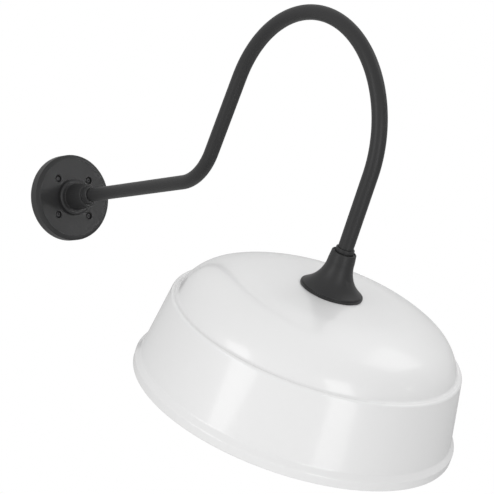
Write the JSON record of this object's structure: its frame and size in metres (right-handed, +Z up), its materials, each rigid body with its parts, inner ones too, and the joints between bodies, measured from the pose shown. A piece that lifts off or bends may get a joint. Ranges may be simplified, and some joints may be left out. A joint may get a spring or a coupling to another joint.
{
  "type": "barn light",
  "caption": "Gooseneck barn light: round wall plate with a stepped hub, bent tube arm, flared neck casting and deep spun shade leaning back over a screw-in lamp.",
  "frame": {"origin": "centre of the wall plate on the wall's surface", "axes": "+Z up, -Y out from the wall along the arm's first straight, X across the wall"},
  "size_m": [0.4721, 0.8305, 0.6787],
  "materials": {
    "black_paint": "satin black powder coat, fine texture",
    "white_enamel": "gloss white powder coat",
    "zinc": "bright zinc plate",
    "black_screw": "black oxide",
    "brass": "plain",
    "green_screw": "green dip",
    "foam": "closed-cell foam",
    "seal_rubber": "matte",
    "porcelain": "white glaze",
    "lead_black": "insulation",
    "lead_white": "insulation",
    "connector": "moulded, ribbed",
    "nickel": "nickel plate",
    "dark_insulator": "dark glass insulator",
    "lamp_white": "moulded",
    "opal": "frosted"
  },
  "bodies": {
    "fixture": {"wall_plate": "black_paint", "wall_gasket": "foam", "mounting_ring": "zinc", "ground_screw": "green_screw", "plate_screws": "black_screw", "arm_hub": "black_paint", "hub_nut": "zinc", "hub_set_screw": "black_screw", "gooseneck_arm": "black_paint", "shade_neck": "black_paint", "neck_set_screw": "black_screw", "neck_seal": "seal_rubber", "shade": "white_enamel", "shade_lock_ring": "zinc", "nipple": "zinc", "nipple_nuts": "zinc", "holder_cap": "zinc", "holder_body": "porcelain", "holder_screws": "zinc", "screw_shell": "brass", "centre_contact": "brass", "terminal_screws": "brass", "line_lead": "lead_black", "neutral_lead": "lead_white", "wire_connectors": "connector"},
    "lamp": {"lamp_tip": "nickel", "lamp_insulator": "dark_insulator", "lamp_base": "nickel", "lamp_housing": "lamp_white", "lamp_globe": "opal"}
  },
  "joints": [
    {"name": "lamp_out", "type": "slide", "parent": "fixture", "child": "lamp", "axis": [0, 0.4802, -0.8771], "range_m": [0, 0.16]}
  ]
}
